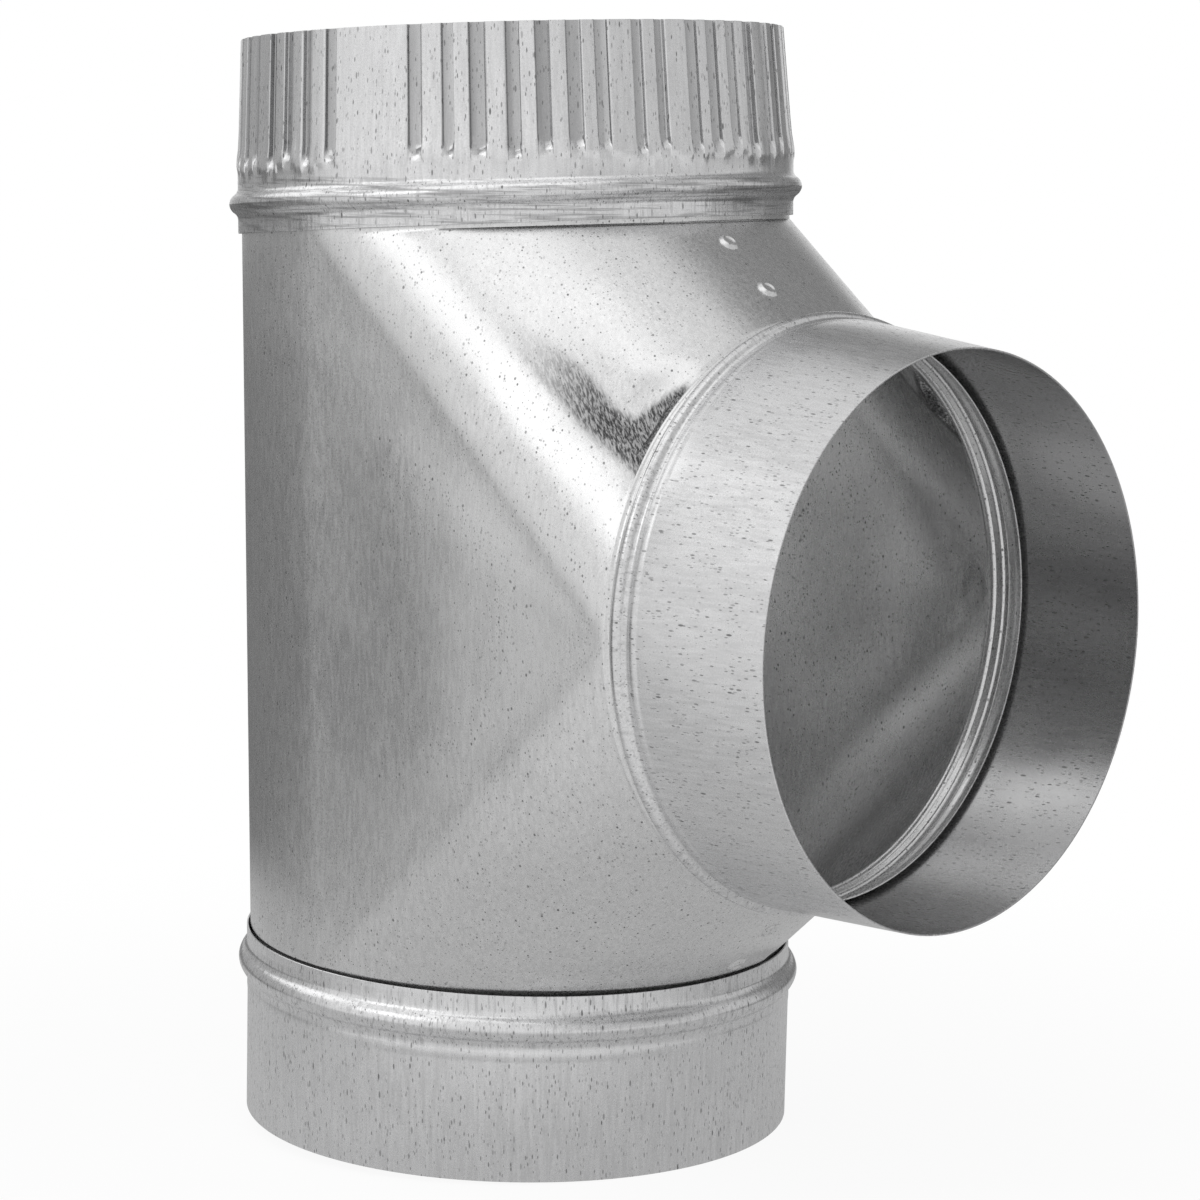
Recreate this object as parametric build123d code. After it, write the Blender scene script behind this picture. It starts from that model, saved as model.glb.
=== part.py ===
from build123d import *
import math
import os

# Furnace pipe tee in galvanised sheet, in millimetres. +Z runs up the run, the branch points along +X,
# and the origin is the centre of the lower mouth.

# Sheet and pipe
SHEET = 0.5
PIPE_RADIUS = 76.2  # outside of a plain collar, six inches across
NECK_GAP = 0.5  # between the body's neck and the wall of the collar round it
BEND_GAP = 0.2  # from the body's bend to the edge of a collar on the run

# Run
BODY_HALF = 100.0  # branch axis to the edge of either run collar
RUN_BEAD_HEIGHT = 2.4
RUN_NEST_GAP = 0.05  # between the crests of the neck's bead and the collar's bead that locks on it
RUN_NECK_TAIL = 3.5  # bead to the free edge of the body's neck
UPPER_BEAD_WIDTH = 8.5
UPPER_BEAD_SET = 8.0  # edge of the collar to the middle of its bead
LOWER_BEAD_WIDTH = 11.5
LOWER_BEAD_SET = 10.0
LOWER_COLLAR = 52.4
LOWER_SHOULDER_WIDTH = 4.2  # low ridge over the neck's free edge, where the socket ends
LOWER_SHOULDER_HEIGHT = 0.5

# Branch
BRANCH_BEND = 107.4  # run axis to the body's bend round the branch
BRANCH_GROOVE_WIDTH = 3.2  # groove in the neck that the collar's edge stops at
BRANCH_GROOVE_DEPTH = 0.8
BRANCH_COLLAR = 48.0
BRANCH_RIB_WIDTH = 5.2
BRANCH_RIB_HEIGHT = 1.9
BRANCH_RIB_SET = 2.9
BRANCH_NEST_GAP = 0.4
BRANCH_NECK_TAIL = 3.3
BRANCH_SHOULDER_WIDTH = 3.6
BRANCH_SHOULDER_HEIGHT = 0.35

# Crimped end
FLUTES = 56
CRIMP_BAND = 3.75  # plain band between the bead and the root of the flutes
CRIMP_LENGTH = 36.4  # rim to the root of the flutes
CRIMP_RUNOUT = 4.0  # length over which a flute fades away
CRIMP_TAPER = 1.4  # how much smaller the crests' radius is at the rim
FLUTE_DEPTH = 1.3
CREST_SHARE = 0.46  # of a flute's pitch
VALLEY_SHARE = 0.22
FLAT_FROM = -79.0  # degrees round the run, where the crimping starts and ends and leaves the sheet flat
FLAT_TO = -65.5

# Lapped seam down the sloping fronts
LAP_EDGE = 22.0  # outer sheet's edge, beyond the plane of symmetry
LAP_INNER = 14.0  # inner sheet's edge, on the other side of it
BUTTON_OFFSET = 4.0
BUTTON_RADIUS = 2.9
BUTTON_HEIGHT = 0.8
BUTTON_DIMPLE = 1.4
BUTTONS_AT = (6.5, 24.0)  # down the slope from the run's bend

BEAD_CREST_SHARE = 0.6  # of the two radii that make a bead's curve
SHOULDER_SET = 0.3  # end of a collar's bead to its low ridge
NEST_SHARE = 0.86  # width of the neck's bead in the run collar's
BRANCH_NEST_SHARE = 0.7
CUT_PAST = 1.0  # how far a cutting solid runs past what it cuts

NECK_RADIUS = PIPE_RADIUS - SHEET - NECK_GAP
NECK_BORE = NECK_RADIUS - SHEET
RUN_BEND = BODY_HALF - BEND_GAP
BRANCH_JOINT = BRANCH_BEND + BRANCH_GROOVE_WIDTH + BEND_GAP
BRANCH_HEIGHT = LOWER_COLLAR + BODY_HALF


class Bead:
    """A ridge round a tube: two foot arcs and a crest arc that meet in tangents. A negative height is a groove."""

    def __init__(self, middle, width, height):
        self.middle = middle
        self.width = width
        self.side = math.copysign(1, height)
        self.height = abs(height)
        self.turn = 2 * math.atan2(2 * self.height, width)
        radii = width / 2 / math.sin(self.turn)
        self.crest = BEAD_CREST_SHARE * radii
        self.foot = radii - self.crest
        self.end = middle + width / 2

    def arcs(self, radius, depth):
        """The outline on a face that lies this deep inside the tube of this radius, from one foot to the other."""
        crest = self.crest - self.side * depth
        foot = self.foot + self.side * depth
        crest_x = radius + self.side * (self.height - self.crest)
        foot_x = radius + self.side * self.foot

        def on_crest(angle):
            return (crest_x + self.side * crest * math.cos(angle), self.middle + crest * math.sin(angle))

        def on_foot(end, angle):
            reach = self.width / 2 - foot * math.sin(angle)
            return (foot_x - self.side * foot * math.cos(angle), self.middle + end * reach)

        half = self.turn / 2
        return [
            ThreePointArc(on_foot(-1, 0), on_foot(-1, half), on_crest(-self.turn)),
            ThreePointArc(on_crest(-self.turn), on_crest(0), on_crest(self.turn)),
            ThreePointArc(on_crest(self.turn), on_foot(1, half), on_foot(1, 0)),
        ]

    def inside(self, gap, share):
        """The bead of the neck that is pressed out into this one, a gap short of its crest."""
        return Bead(self.middle, self.width * share, self.height + NECK_GAP - gap)

    def shoulder(self, width, height):
        """The low ridge next to this one, which the free edge of the neck raises in its collar."""
        return Bead(self.end + SHOULDER_SET + width / 2, width, height)


UPPER_BEAD = Bead(UPPER_BEAD_SET, UPPER_BEAD_WIDTH, RUN_BEAD_HEIGHT)
LOWER_BEAD = Bead(LOWER_BEAD_SET, LOWER_BEAD_WIDTH, RUN_BEAD_HEIGHT)
BRANCH_RIB = Bead(BRANCH_RIB_SET, BRANCH_RIB_WIDTH, BRANCH_RIB_HEIGHT)


def tube(radius, low, high, beads):
    """A round sheet wall about Z, from low to high, with its beads in order. The radius is its outside."""
    edges = []
    for depth in (0, SHEET):
        at = (radius - depth, low)
        for bead in beads:
            arcs = bead.arcs(radius, depth)
            edges += [Line(at, arcs[0] @ 0), *arcs]
            at = arcs[-1] @ 1
        edges.append(Line(at, (radius - depth, high)))
    edges += [Line((radius, z), (radius - SHEET, z)) for z in (low, high)]
    return revolve(Plane.XZ * make_face(edges), Axis.Z)


def placed_sheet(points, place):
    """A face on three-dimensional points: lines between two, arcs through three, closed by a straight chord."""
    edges = []
    for run in points:
        spots = [place(*p) for p in run]
        edges.append(Line(*spots) if len(spots) == 2 else ThreePointArc(*spots))
    edges.append(Line(edges[-1] @ 1, edges[0] @ 0))
    return make_face(edges)


def on_ring(radius, angle):
    return (radius * math.cos(angle), radius * math.sin(angle))


def lapped_half(radius, edge, rise):
    """
    Half of the body's outline as (bulge, y) points. From -Y the sheet climbs by rise until its edge, which is this
    far beyond the plane of symmetry, steps down and goes on at the plain radius.
    """
    start = -math.pi / 2
    step = math.asin(edge / radius)
    halfway = on_ring(radius + rise / 2, (start + step) / 2)
    climb = [on_ring(radius, start), halfway, on_ring(radius + rise, step)]
    plain = [on_ring(radius, step), on_ring(radius, (step - start) / 2), on_ring(radius, -start)]
    return [climb, [climb[-1], plain[0]], plain]


def hull(radius, run_bend, branch_bend, outline):
    """The body's form: three round ends joined by a half cylinder, two flat sides and two sloping fronts."""
    front = []
    for up in (1, -1):
        at_run = placed_sheet(outline, lambda bulge, y: (bulge, y, up * run_bend))
        at_branch = placed_sheet(outline, lambda bulge, y: (branch_bend, y, up * bulge))
        front.append(loft([at_run, at_branch], ruled=True))
    side = make_face(Polyline((0, run_bend), (0, -run_bend), (branch_bend, 0), close=True))
    flat = extrude(Plane.XZ * side, radius, both=True)
    back = Cylinder(radius, 2 * run_bend) & Pos(-radius, 0, 0) * Box(2 * radius, 2 * radius, 2 * run_bend)
    return back + flat + front


def sheet_body():
    """The wrapped body: one sheet, its ends lapped and buttoned down both sloping fronts, with three necks."""
    slope = math.atan2(RUN_BEND - NECK_RADIUS, BRANCH_BEND - NECK_RADIUS)
    run_inner = RUN_BEND - SHEET * math.tan((math.pi / 2 - slope) / 2)
    branch_inner = BRANCH_BEND - SHEET * math.tan(slope / 2)
    rise_inside = SHEET * (math.pi / 2 - math.asin(LAP_INNER / NECK_BORE)) / (
        math.pi / 2 + math.asin(LAP_EDGE / NECK_RADIUS))
    outside = hull(NECK_RADIUS, RUN_BEND, BRANCH_BEND, lapped_half(NECK_RADIUS, LAP_EDGE, SHEET))
    inside = hull(NECK_BORE, run_inner, branch_inner, lapped_half(NECK_BORE, -LAP_INNER, rise_inside))
    inside += Cylinder(NECK_BORE, 2 * RUN_BEND + CUT_PAST)
    from_axis = (Align.CENTER, Align.CENTER, Align.MIN)
    inside += Rot(0, 90, 0) * Cylinder(NECK_BORE, BRANCH_BEND + CUT_PAST, align=from_axis)
    shell = outside + buttons(slope) - inside
    up = Pos(0, 0, BODY_HALF) * neck(UPPER_BEAD)
    down = Rot(180, 0, 0) * Pos(0, 0, BODY_HALF) * neck(LOWER_BEAD)
    return shell + up + down + Rot(0, 90, 0) * Pos(0, 0, BRANCH_JOINT) * branch_neck()


def buttons(slope):
    """Clinched buttons in a line down each sloping front: a low boss with a dimple in it."""
    boss = Cylinder(BUTTON_RADIUS, 2 * BUTTON_HEIGHT)
    boss = fillet(boss.edges().group_by(Axis.Z)[-1], BUTTON_HEIGHT / 2)
    boss -= Pos(0, 0, BUTTON_HEIGHT) * Sphere(BUTTON_DIMPLE / 2)
    made = Part()
    for up in (1, -1):
        for along in BUTTONS_AT:
            x = NECK_RADIUS + SHEET + along * math.cos(slope)
            z = up * (RUN_BEND - along * math.sin(slope))
            upright = (math.sin(slope), 0, up * math.cos(slope))
            made += Plane((x, BUTTON_OFFSET, z), x_dir=(0, 1, 0), z_dir=upright) * boss
    return made


def neck(bead):
    """The body's neck inside a run collar, from the bend to its free edge."""
    return tube(NECK_RADIUS, -BEND_GAP, bead.end + RUN_NECK_TAIL, [bead.inside(RUN_NEST_GAP, NEST_SHARE)])


def branch_neck():
    groove = Bead(-BEND_GAP - BRANCH_GROOVE_WIDTH / 2, BRANCH_GROOVE_WIDTH, -BRANCH_GROOVE_DEPTH)
    lock = BRANCH_RIB.inside(BRANCH_NEST_GAP, BRANCH_NEST_SHARE)
    return tube(NECK_RADIUS, BRANCH_BEND - BRANCH_JOINT, BRANCH_RIB.end + BRANCH_NECK_TAIL, [groove, lock])


def flute_ring(radius, depth, z):
    """The crimped wall's outline at one height: flat crests and valleys, with the flat left at its start."""
    pitch = 360 / FLUTES
    points = []
    for n in range(FLUTES):
        middle = n * pitch
        skipped = FLAT_FROM < (middle + 180) % 360 - 180 < FLAT_TO
        low = radius if skipped else radius - depth
        slope_end = (1 - CREST_SHARE) / 2 * pitch
        for turn, r in ((-slope_end, radius), (-VALLEY_SHARE / 2 * pitch, low),
                        (VALLEY_SHARE / 2 * pitch, low), (slope_end, radius)):
            points.append(on_ring(r, math.radians(middle + turn)))
    return Pos(0, 0, z) * make_face(Polyline(points, close=True))


def crimped_collar():
    """The upper collar: plain and beaded below, crimped and slightly tapered above."""
    root = UPPER_BEAD.end + CRIMP_BAND
    full = root + CRIMP_RUNOUT
    rim = root + CRIMP_LENGTH
    plain = tube(PIPE_RADIUS, 0, root, [UPPER_BEAD])
    shrink = CRIMP_TAPER * CRIMP_RUNOUT / CRIMP_LENGTH
    walls = []
    for depth in (0, SHEET):
        radius = PIPE_RADIUS - depth
        rings = [flute_ring(radius, 0, root), flute_ring(radius - shrink, FLUTE_DEPTH, full),
                 flute_ring(radius - CRIMP_TAPER, FLUTE_DEPTH, rim)]
        walls.append(loft(rings, ruled=True))
    return plain + (walls[0] - walls[1])


LOWER_SHOULDER = LOWER_BEAD.shoulder(LOWER_SHOULDER_WIDTH, LOWER_SHOULDER_HEIGHT)
BRANCH_SHOULDER = BRANCH_RIB.shoulder(BRANCH_SHOULDER_WIDTH, BRANCH_SHOULDER_HEIGHT)
lower = tube(PIPE_RADIUS, 0, LOWER_COLLAR, [LOWER_BEAD, LOWER_SHOULDER])
branch = tube(PIPE_RADIUS, 0, BRANCH_COLLAR, [BRANCH_RIB, BRANCH_SHOULDER])
middle = Pos(0, 0, BRANCH_HEIGHT)
pieces = {
    "body_sheet": middle * sheet_body(),
    "crimped_collar": middle * Pos(0, 0, BODY_HALF) * crimped_collar(),
    "lower_collar": middle * Rot(180, 0, 0) * Pos(0, 0, BODY_HALF) * lower,
    "branch_collar": middle * Rot(0, 90, 0) * Pos(0, 0, BRANCH_JOINT) * branch,
}

os.makedirs("parts", exist_ok=True)
for name, piece in pieces.items():
    solid = piece.solids()
    print(name, len(solid), "solids", round(piece.volume), "mm3")
    export_step(solid[0] if len(solid) == 1 else Compound(children=list(solid)), f"parts/{name}.step")
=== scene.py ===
"""Furnace pipe tee in galvanised sheet: skins fitted round the packed frame, in a plain studio."""
import math
import random

import bmesh
import bpy
from mathutils import Matrix, Vector


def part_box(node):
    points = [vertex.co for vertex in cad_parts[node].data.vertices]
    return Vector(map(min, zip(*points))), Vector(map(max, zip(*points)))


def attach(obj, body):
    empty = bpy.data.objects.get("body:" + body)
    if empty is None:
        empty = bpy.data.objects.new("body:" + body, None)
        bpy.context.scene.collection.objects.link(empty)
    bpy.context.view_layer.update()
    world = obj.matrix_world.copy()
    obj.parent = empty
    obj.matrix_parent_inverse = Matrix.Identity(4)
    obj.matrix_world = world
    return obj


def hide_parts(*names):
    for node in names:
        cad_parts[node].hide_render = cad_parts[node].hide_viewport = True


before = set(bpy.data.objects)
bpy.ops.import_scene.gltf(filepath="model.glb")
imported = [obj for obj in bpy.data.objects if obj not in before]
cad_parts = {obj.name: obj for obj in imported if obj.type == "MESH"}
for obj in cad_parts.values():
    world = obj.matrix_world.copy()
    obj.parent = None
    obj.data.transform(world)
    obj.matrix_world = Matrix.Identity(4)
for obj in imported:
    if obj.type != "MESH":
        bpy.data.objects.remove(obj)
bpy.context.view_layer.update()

bl_info = {
    "name": "Furnace pipe tee",
    "version": (1, 0, 0),
    "blender": (4, 5, 0),
    "location": "View3D > Sidebar > Pipe tee",
    "description": "Makes the galvanised sheet skins of a furnace pipe tee and a plain studio round them",
    "category": "Add Mesh",
}

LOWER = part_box("lower_collar")
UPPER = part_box("crimped_collar")
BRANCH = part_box("branch_collar")
AXIS_HEIGHT = (BRANCH[0].z + BRANCH[1].z) / 2

MM = 0.001
TOLERANCE = 0.01 * MM
UPENDED = Matrix.Rotation(math.pi, 4, "X")
LYING = Matrix.Rotation(math.pi / 2, 4, "Y")  # from along Z to along the branch

# how finely the meshes are divided
HALF_COLUMNS = 144  # round half a neck of the body
SLOPE_ROWS = 44  # from the bend under a run collar to the bend round the branch
BACK_ROWS = 12
ROW_CROWDING = 0.09  # how strongly the slope's rows crowd at both bends
COLLAR_STEPS = 256
COLLAR_ROW = 4.0 * MM
FLUTE_STEPS = 16
ROOT_CUTS, FLUTE_CUTS = 14, 6  # at the flutes' ends, and from there up to the rim
BUTTON_STEPS = 40
BEAD_SEGMENTS = 6
CREST_SHARE = 0.6  # of the two radii that make a bead's curve
CORNER_CUT = 0.999  # of the room by a bead's corner, so that neighbouring cuts don't meet
CUT_EDGE = math.radians(65)  # sharper edges are cut edges of the sheet
SHARP_EDGE = math.radians(32)

# places along an axis
RUN_COLLAR_EDGE = 100.0 * MM  # the branch's axis to the inner edge of a run collar
BRANCH_COLLAR_EDGE = 3.4 * MM  # the bend round the branch to the inner edge of its collar
UPPER_BEAD_MIDDLE = 8.0 * MM  # these four from the collar's inner edge
LOWER_BEAD_MIDDLE = 9.4 * MM
RIB_MIDDLE = 2.9 * MM
FLUTE_ROOT = 16.0 * MM
RIM_OVAL = 0.002  # how much more the branch collar is drawn in upright than across


def length(name, description, default):
    return bpy.props.FloatProperty(
        name=name, description=description, default=default, min=0.0, unit="LENGTH")


def angle(name, description, degrees):
    return bpy.props.FloatProperty(
        name=name, description=description, default=math.radians(degrees), unit="ROTATION")


def share(name, description, default):
    return bpy.props.FloatProperty(
        name=name, description=description, default=default, min=0.0, max=1.0, subtype="FACTOR")


def shade(name, description, default):
    return bpy.props.FloatVectorProperty(
        name=name, description=description, default=default, size=3, min=0.0, max=1.0, subtype="COLOR")


class TeeSheet(bpy.types.PropertyGroup):
    """Sheet and pipe sizes that every piece shares."""

    thickness: length("Sheet thickness", "Thickness of the galvanised sheet", 0.5 * MM)
    pipe_radius: length("Pipe radius", "Outside radius of a plain collar", 76.2 * MM)
    neck_radius: length("Neck radius", "Outside radius of the body's necks", 75.2 * MM)
    edge_round: length("Edge rounding", "Chamfer on the cut edges of the sheet", 0.1 * MM)


class TeeBody(bpy.types.PropertyGroup):
    """The wrapped body."""

    run_bend: length("Run bend", "Branch axis to the bend below either run collar", 99.8 * MM)
    branch_bend: length("Branch bend", "Run axis to the bend round the branch", 107.4 * MM)
    lap_rise: length("Lap rise", "Step at the edge of the outer sheet", 0.5 * MM)
    lap_edge: length("Lap edge", "Edge of the outer sheet, beyond the plane of symmetry", 22.0 * MM)
    pucker_depth: length("Pucker depth", "Depth of the pucker where the slope meets the branch", 3.0 * MM)
    side_belly: length("Side belly", "How far the flat sides belly out", 1.2 * MM)
    side_dent: length("Side dent", "Depth of the pointed dent in the far side, by the branch", 2.0 * MM)
    button_radius: length("Button radius", "Radius of a clinched button on the seam", 3.1 * MM)
    button_height: length("Button height", "Height of a clinched button", 0.75 * MM)


class TeeCollars(bpy.types.PropertyGroup):
    """The three collars."""

    bead_height: length("Run bead height", "Height of the beads of the run collars", 2.37 * MM)
    upper_bead: length("Upper bead width", "Width of the crimped collar's bead", 8.5 * MM)
    lower_bead: length("Lower bead width", "Width of the lower collar's bead", 10.2 * MM)
    rib_height: length("Branch rib height", "Height of the branch collar's rib", 1.9 * MM)
    rib_width: length("Branch rib width", "Width of the branch collar's rib", 5.2 * MM)
    flutes: bpy.props.IntProperty(
        name="Flutes", description="Flutes that the crimping would make on a full turn", default=56, min=12)
    flute_depth: length("Flute depth", "Depth of the crimped flutes", 1.3 * MM)
    crimp_taper: length("Crimp taper", "How much smaller the crests are at the rim", 2.1 * MM)
    crimp_bulge: length("Crimp bulge", "How far the sheet bulges between the ends of the flutes", 0.4 * MM)
    rim_draw: share("Branch rim draw", "How much narrower the branch collar is at its rim", 0.032)
    rim_drop: length("Branch rim drop", "How much lower the branch collar's rim hangs", 2.7 * MM)
    flat_from: angle("Flat from", "Where the crimping ends and leaves the sheet flat", -79.0)
    flat_to: angle("Flat to", "Where the crimping starts again", -65.5)


class TeeFinish(bpy.types.PropertyGroup):
    """The galvanised finish, and the colours of its painted shade."""

    body_zinc: shade("Body zinc", "Colour of the body's zinc", (0.77, 0.77, 0.772))
    collar_zinc: shade("Collar zinc", "Colour of the collars' zinc", (0.79, 0.79, 0.796))
    branch_zinc: shade("Branch zinc", "Colour of the branch collar's zinc", (0.745, 0.745, 0.75))
    speck: shade("Specks", "Colour of the dark specks in the zinc", (0.16, 0.16, 0.162))
    # painted shade: near-black colour of the dark reflection painted on the pucker's wall
    shade_streaks: shade("Crazed zinc", "Colour of the zinc where the sheet is strained", (0.05, 0.05, 0.051))
    # painted shade: the colour that the inner faces of the collars are darkened towards
    inner: shade("Inner zinc", "Colour that the duller inner faces tend to", (0.3, 0.3, 0.302))
    # painted shade: the colour that the crimped grooves, the wrinkles' creases and the band by a bead are
    # darkened towards, along with the rolling marks
    groove: shade("Grooves", "Colour of the zinc down in the crimped grooves", (0.24, 0.24, 0.243))
    roughness: share("Roughness", "Roughness of the zinc", 0.24)
    seed: bpy.props.IntProperty(name="Seed", description="Start of the uneven crimping", default=11)


class TeeStage(bpy.types.PropertyGroup):
    """Floor, light and camera."""

    floor: shade("Floor", "Colour of the floor", (0.9, 0.9, 0.9))
    floor_size: length("Floor size", "Side of the floor", 14.0)
    azimuth: angle("Camera azimuth", "Camera's turn about the run", 44.61)
    elevation: angle("Camera elevation", "Camera's height angle", 7.42)
    distance: length("Camera distance", "From the run's axis to the camera", 1.035)
    lens: bpy.props.FloatProperty(
        name="Lens", description="Focal length in millimetres", default=111.25, min=1.0)
    aim_height: length("Aim height", "Height that the camera aims at", 0.146)
    aim_side: length("Aim side", "How far right of the run's axis the camera aims", 0.0231)


GROUPS = (
    ("tee_sheet", TeeSheet),
    ("tee_body", TeeBody),
    ("tee_collars", TeeCollars),
    ("tee_finish", TeeFinish),
    ("tee_stage", TeeStage),
)


# ---- small helpers for shapes

def smooth(low, high, value):
    """0 up to low, 1 from high on, and a smooth climb between them."""
    x = min(max((value - low) / (high - low), 0.0), 1.0)
    return x * x * (3 - 2 * x)


def profile(start, *changes):
    """A curve that begins at start and makes smooth changes, each (change, from, to)."""
    return lambda at: start + sum(change * smooth(low, high, at) for change, low, high in changes)


def bead(radius, middle, width, height):
    """A rolled bead's corners on a wall of this radius: (radius, place along the axis, rounding)."""
    turn = 2 * math.atan2(2 * abs(height), width)
    radii = width / 2 / math.sin(turn)
    crest, foot = CREST_SHARE * radii, (1 - CREST_SHARE) * radii
    foot_cut, crest_cut = (CORNER_CUT * part * math.tan(turn / 2) for part in (foot, crest))
    return [
        (radius, middle - width / 2 + foot_cut, foot_cut),
        (radius + height, middle - crest_cut, crest_cut),
        (radius + height, middle + crest_cut, crest_cut),
        (radius, middle + width / 2 - foot_cut, foot_cut),
    ]


class Lean:
    """How crooked a loosely made collar sits: (rise along X, shift up) of its two edges, and its slant."""

    reach = 52.4 * MM
    slant_from = 16.0 * MM  # beyond the bead, which fills the box of the solids

    def __init__(self, joint, rim, slant):
        self.joint, self.rim, self.slant = joint, rim, slant

    def shift(self, co, beyond):
        """Shift of a point that lies this far beyond the joint, towards the rim."""
        part = min(max(beyond / self.reach, 0.0), 1.0)
        rise = self.joint[0] + part * (self.rim[0] - self.joint[0])
        up = self.joint[1] + part * (self.rim[1] - self.joint[1])
        return Vector((-self.slant * max(beyond - self.slant_from, 0.0), 0.0, rise * co.x + up))


UPPER_LEAN = Lean((0.048, -2.0 * MM), (0.036, -2.75 * MM), 0.033)
LOWER_LEAN = Lean((-0.045, 1.2 * MM), (-0.033, 2.55 * MM), 0.03)
UPPER_BEND = (0.042, -2.5 * MM)  # rise along X and shift up of the body's bends
LOWER_BEND = (-0.045, 1.6 * MM)


def outline(bm, corners):
    """An open outline in the plane of X and Z from (radius, height, rounding) corners."""
    verts = [bm.verts.new((radius, 0, height)) for radius, height, cut in corners]
    for pair in zip(verts, verts[1:]):
        bm.edges.new(pair)
    for vert, (radius, height, cut) in zip(verts, corners):
        if cut:
            bmesh.ops.bevel(
                bm, geom=[vert], offset=cut, offset_type="OFFSET", segments=BEAD_SEGMENTS, profile=0.5,
                affect="VERTICES", material=-1)


def rows(bm, longest):
    """Cuts every long edge of an outline, so that the wall has rows no taller than this."""
    for edge in list(bm.edges):
        cuts = int(edge.calc_length() / longest)
        if cuts:
            bmesh.ops.subdivide_edges(bm, edges=[edge], cuts=cuts)


def spin(bm, steps):
    """A full turn of the outline about Z, closed, with its faces outward."""
    bmesh.ops.spin(
        bm, geom=bm.verts[:] + bm.edges[:], cent=(0, 0, 0), axis=(0, 0, 1), dvec=(0, 0, 0),
        angle=2 * math.pi, steps=steps, use_merge=True, use_duplicate=False)
    bmesh.ops.remove_doubles(bm, verts=bm.verts[:], dist=0.001 * MM)
    bmesh.ops.recalc_face_normals(bm, faces=bm.faces[:])
    face = bm.faces[:][0]
    radial = face.calc_center_median()
    radial.z = 0
    if face.normal.dot(radial) < 0:
        bmesh.ops.reverse_faces(bm, faces=bm.faces[:])


def wall(bm, sheet):
    """Gives an open skin the sheet's thickness, inward, marks the inner face and breaks the cut edges."""
    inside = bm.verts.layers.float.new("inside")
    skin = set(bm.verts)
    bmesh.ops.solidify(bm, geom=bm.faces[:], thickness=sheet.thickness)
    halves = list(skin), [v for v in bm.verts if v not in skin]
    inner = min(halves, key=lambda half: sum(abs(v.co.y) for v in half) / len(half))
    for vert in inner:
        vert[inside] = 1.0
    bm.normal_update()
    cut = [e for e in bm.edges if len(e.link_faces) == 2 and e.calc_face_angle(0.0) > CUT_EDGE]
    bmesh.ops.bevel(
        bm, geom=cut, offset=sheet.edge_round, offset_type="OFFSET", segments=1, profile=0.5,
        affect="EDGES", material=-1)


def piece(name, bm, material, slot, *nodes):
    mesh = bpy.data.meshes.new(name)
    bm.to_mesh(mesh)
    bm.free()
    mesh.materials.append(material)
    mesh.shade_smooth()
    mesh.set_sharp_from_angle(angle=SHARP_EDGE)
    made = bpy.data.objects.new(name, mesh)
    bpy.context.scene.collection.objects.link(made)
    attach(made, "root")
    if nodes:
        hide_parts(*nodes)


# ---- the galvanised finish, with painted shade

class Wiring:
    """Adds nodes to a tree. Most calls return the output that is wanted."""

    def __init__(self, tree):
        self.tree = tree

    def node(self, kind, *parts, **settings):
        """Adds a node with these settings and feeds the parts to its first inputs."""
        made = self.tree.nodes.new(kind)
        for key, value in settings.items():
            setattr(made, key, value)
        for target, part in zip(made.inputs, parts):
            self.feed(target, part)
        return made

    def feed(self, target, value):
        if isinstance(value, bpy.types.NodeSocket):
            self.tree.links.new(value, target)
        else:
            target.default_value = value

    def math(self, operation, a, b=0.0, clamp=False):
        return self.node("ShaderNodeMath", a, b, operation=operation, use_clamp=clamp).outputs[0]

    def remap(self, value, low, high, to_low=0.0, to_high=1.0):
        return self.node(
            "ShaderNodeMapRange", value, low, high, to_low, to_high,
            interpolation_type="SMOOTHSTEP").outputs["Result"]

    def vector(self, operation, a, b=(0.0, 0.0, 0.0)):
        return self.node("ShaderNodeVectorMath", a, b, operation=operation).outputs

    def stretch(self, vector, scale):
        return self.vector("MULTIPLY", vector, scale)["Vector"]

    def dot(self, vector, axis):
        return self.vector("DOT_PRODUCT", vector, axis)["Value"]

    def split(self, vector):
        return self.node("ShaderNodeSeparateXYZ", vector).outputs

    def attribute(self, name):
        return self.node("ShaderNodeAttribute", attribute_name=name).outputs["Fac"]

    def noise(self, vector, scale, detail=2.0, roughness=0.5, distortion=0.0):
        made = self.node("ShaderNodeTexNoise")
        for name, part in (
                ("Vector", vector), ("Scale", scale), ("Detail", detail), ("Roughness", roughness),
                ("Distortion", distortion)):
            self.feed(made.inputs[name], part)
        return made.outputs["Fac"]

    def blend(self, factor, a, b):
        made = self.node("ShaderNodeMix", data_type="RGBA")
        self.feed(made.inputs["Factor"], factor)
        self.feed(made.inputs[6], a)
        self.feed(made.inputs[7], b)
        return made.outputs[2]

    def mix(self, target, factor, a, b):
        """Mixes two shaders and feeds them to the tree's output."""
        self.feed(target, self.node("ShaderNodeMixShader", factor, a, b).outputs[0])

    def group(self, group, **values):
        made = self.node("ShaderNodeGroup", node_tree=group)
        for name, part in values.items():
            self.feed(made.inputs[name.replace("_", " ")], part)
        return made.outputs


def group_tree(name, inputs, outputs):
    """A node group with these inputs by name and default (None for a vector), and these Float outputs."""
    tree = bpy.data.node_groups.new(name, "ShaderNodeTree")
    for key, default in inputs.items():
        kind = "NodeSocketVector" if default is None else "NodeSocketFloat"
        made = tree.interface.new_socket(name=key, in_out="INPUT", socket_type=kind)
        if default is not None:
            made.default_value = default
    for key in outputs:
        tree.interface.new_socket(name=key, in_out="OUTPUT", socket_type="NodeSocketFloat")
    wires = Wiring(tree)
    return tree, wires, wires.node("NodeGroupInput").outputs, wires.node("NodeGroupOutput").inputs


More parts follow.
